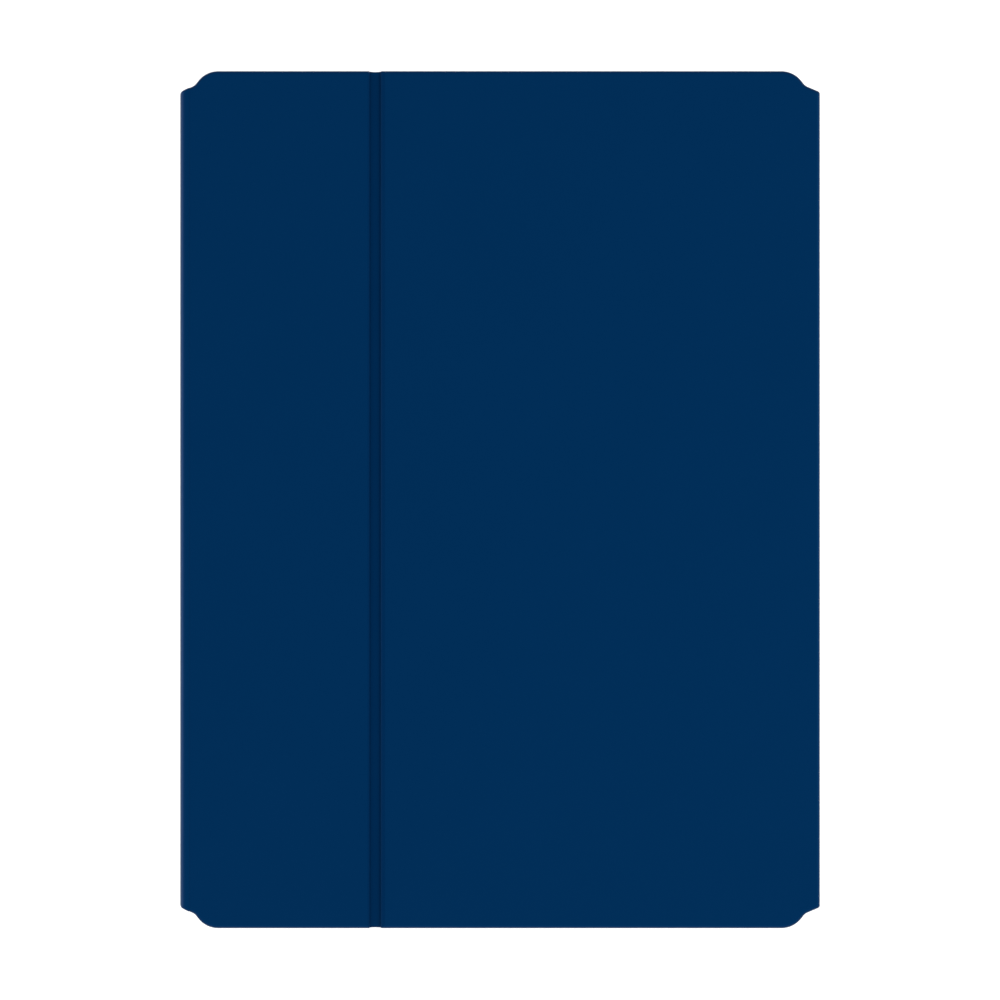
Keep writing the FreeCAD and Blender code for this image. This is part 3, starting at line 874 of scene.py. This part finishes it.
def build_stage():
    """Plain white paper floor, far below the case and lit a little from within."""
    bpy.ops.mesh.primitive_plane_add(size=80, location=(0, 0, FLOOR_Z))
    floor = bpy.context.object
    floor.name = "studio_floor"
    n = Nodes("floor_paper")
    tone = n.noise(3, 2, 0.5)
    n.finish(n.ramp(tone, 0.3, 0.7, (0.88, 0.88, 0.88), (0.9, 0.9, 0.9)),
             n.spread(tone, 0.9, 0.95), Specular_IOR_Level=0.0,
             Emission_Color=(1, 1, 1, 1), Emission_Strength=0.25)
    floor.data.materials.append(n.material)


def area_light(name, place, size_x, size_y, watts):
    """Soft box that faces the case; places and sizes are metres."""
    data = bpy.data.lights.new(name, "AREA")
    data.shape = "RECTANGLE"
    data.size = size_x
    data.size_y = size_y
    data.energy = watts
    obj = bpy.data.objects.new(name, data)
    obj.location = place
    aim = Vector((0, 0, 0.01)) - Vector(place)
    obj.rotation_euler = aim.to_track_quat("-Z", "Y").to_euler()
    bpy.context.scene.collection.objects.link(obj)


def sky_tone(tree, height, start, end, first, last):
    """Grey from first to last while height goes from start to end."""
    ramp = tree.nodes.new("ShaderNodeValToRGB")
    for element, place, grey in zip(ramp.color_ramp.elements, (start, end), (first, last)):
        element.position = place
        element.color = (grey, grey, grey, 1)
    tree.links.new(height, ramp.inputs["Fac"])
    return ramp.outputs["Color"]


def build_light():
    """Three soft boxes and a white sky, dimmer near the horizon and towards +Y."""
    area_light("left_softbox", (-1.5, 0.0, 0.22), 0.9, 0.3, 7)
    area_light("right_softbox", (1.2, 0.1, 0.9), 0.9, 0.6, 6)
    area_light("front_softbox", (0.1, -1.3, 0.9), 0.9, 0.6, 3)
    world = bpy.data.worlds.new("studio")
    bpy.context.scene.world = world
    world.use_nodes = True
    tree = world.node_tree
    back = tree.nodes["Background"]
    coords = tree.nodes.new("ShaderNodeTexCoord")
    split = tree.nodes.new("ShaderNodeSeparateXYZ")
    tree.links.new(coords.outputs["Generated"], split.inputs["Vector"])
    up_tone = sky_tone(tree, split.outputs["Z"], 0.0, 0.95, 0.75, 1.0)
    back_tone = sky_tone(tree, split.outputs["Y"], 0.3, 0.95, 1.0, 0.35)
    both = tree.nodes.new("ShaderNodeMixRGB")
    both.blend_type = "MULTIPLY"
    both.inputs["Fac"].default_value = 1.0
    tree.links.new(up_tone, both.inputs["Color1"])
    tree.links.new(back_tone, both.inputs["Color2"])
    tree.links.new(both.outputs["Color"], back.inputs["Color"])
    back.inputs["Strength"].default_value = 1.0


def build_camera():
    """Straight above, at the distance where the case takes up its share of the picture."""
    width_share = 0.6406
    lens = 100.0
    sensor = 36.0
    data = bpy.data.cameras.new("camera")
    data.lens = lens
    data.sensor_width = sensor
    data.clip_end = 100
    obj = bpy.data.objects.new("camera", data)
    across = (X_FREE - X_SPINE) / width_share
    obj.location = (0.07 * M, -0.12 * M, (TOP + across * lens / sensor) * M)
    bpy.context.scene.collection.objects.link(obj)
    bpy.context.scene.camera = obj
    bpy.context.scene.view_settings.view_transform = "Standard"


dress_cad_nodes()
build_front_cover()
build_back_cover()
build_back_board()
build_front_fold()
build_spine_fold("spine_front_fold", 1, ("spine", "front_small"), ("spine_front_gusset",))
build_spine_fold("spine_back_fold", -1, ("spine", "holder"), ("spine_back_gusset",))
build_spine()
build_pad()
build_keys()
build_stage()
build_light()
build_camera()
